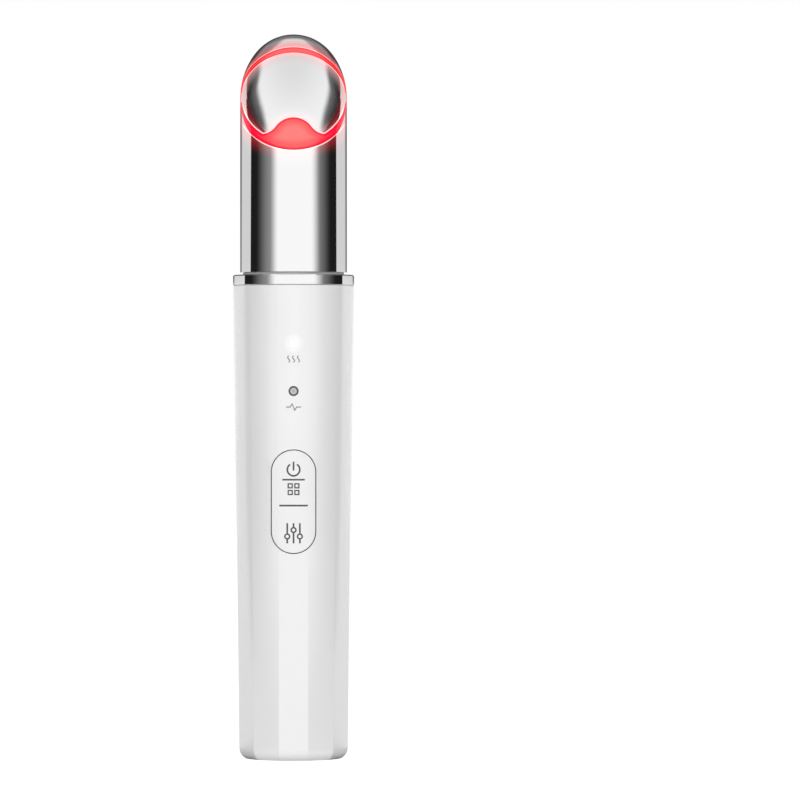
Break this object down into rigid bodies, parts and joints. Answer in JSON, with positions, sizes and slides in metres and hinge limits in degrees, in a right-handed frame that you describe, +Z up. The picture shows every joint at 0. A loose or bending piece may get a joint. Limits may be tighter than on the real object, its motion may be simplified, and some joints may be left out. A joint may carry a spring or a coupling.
{
  "type": "heated eye massager wand",
  "caption": "Slim eye wand: white housing faceted at the foot, chrome collar, slanted chrome head with warm contact plate and red light ring, rocking front pad, charging socket in the foot.",
  "frame": {"origin": "middle of the foot's flat underside, on the wand's long axis", "axes": "+Z up along the wand, -Y towards the pad and the slanted face, +X to the right seen from the front"},
  "size_m": [0.0274, 0.0274, 0.1651],
  "materials": {
    "white_gloss": "glossy moulded white",
    "pad_white": "satin white with printed grey symbols",
    "bright_chrome": "mirror chrome plating",
    "plate_chrome": "mirror polished contact face",
    "red_guide": "translucent, glowing red",
    "lens_lit": "translucent, lit white",
    "lens_grey": "translucent grey, unlit",
    "spigot_plastic": "grey moulded",
    "seal_rubber": "matte black",
    "screw_steel": "zinc plated",
    "bracket_steel": "stamped sheet",
    "socket_steel": "drawn shell",
    "frame_plastic": "black moulded",
    "circuit_board": "green solder mask",
    "chip_black": "black epoxy",
    "switch_black": "black nylon",
    "cell_wrap": "blue shrink sleeve",
    "foam": "foam tape",
    "lamp_white": "lamp package",
    "lamp_red": "lamp package",
    "reflector_white": "white moulded",
    "heater_amber": "amber film",
    "contact_gold": "gold plated"
  },
  "bodies": {
    "wand": {"housing": "white_gloss", "bottom_cap": "white_gloss", "bottom_gasket": "seal_rubber", "cap_screws": "screw_steel", "charging_socket": "socket_steel", "port_board": "circuit_board", "inner_frame": "frame_plastic", "spigot_screws": "screw_steel", "battery_cell": "cell_wrap", "cell_pad": "foam", "main_board": "circuit_board", "board_screws": "screw_steel", "board_chips": "chip_black", "indicator_lamps": "lamp_white", "upper_indicator_lens": "lens_lit", "lower_indicator_lens": "lens_grey", "press_switches": "switch_black", "rocker_pin": "screw_steel", "rocker_bracket": "bracket_steel", "collar_ring": "bright_chrome", "head_spigot": "spigot_plastic", "head_seal": "seal_rubber", "head_tube": "bright_chrome", "contact_plate": "plate_chrome", "light_guide": "red_guide", "heater_film": "heater_amber", "heat_sensor": "chip_black", "spring_contact": "contact_gold", "lamp_board": "circuit_board", "red_lamps": "lamp_red", "reflector_ring": "reflector_white", "head_ribbon": "heater_amber"},
    "pad": {"button_pad": "pad_white"}
  },
  "joints": [
    {"name": "pad_rock", "type": "hinge", "parent": "wand", "child": "pad", "pos_m": [0, -0.0099, 0.05855], "axis": [1, 0, 0], "range_deg": [-2.2, 2.2], "stiffness_Nm_per_rad": 0.6}
  ]
}
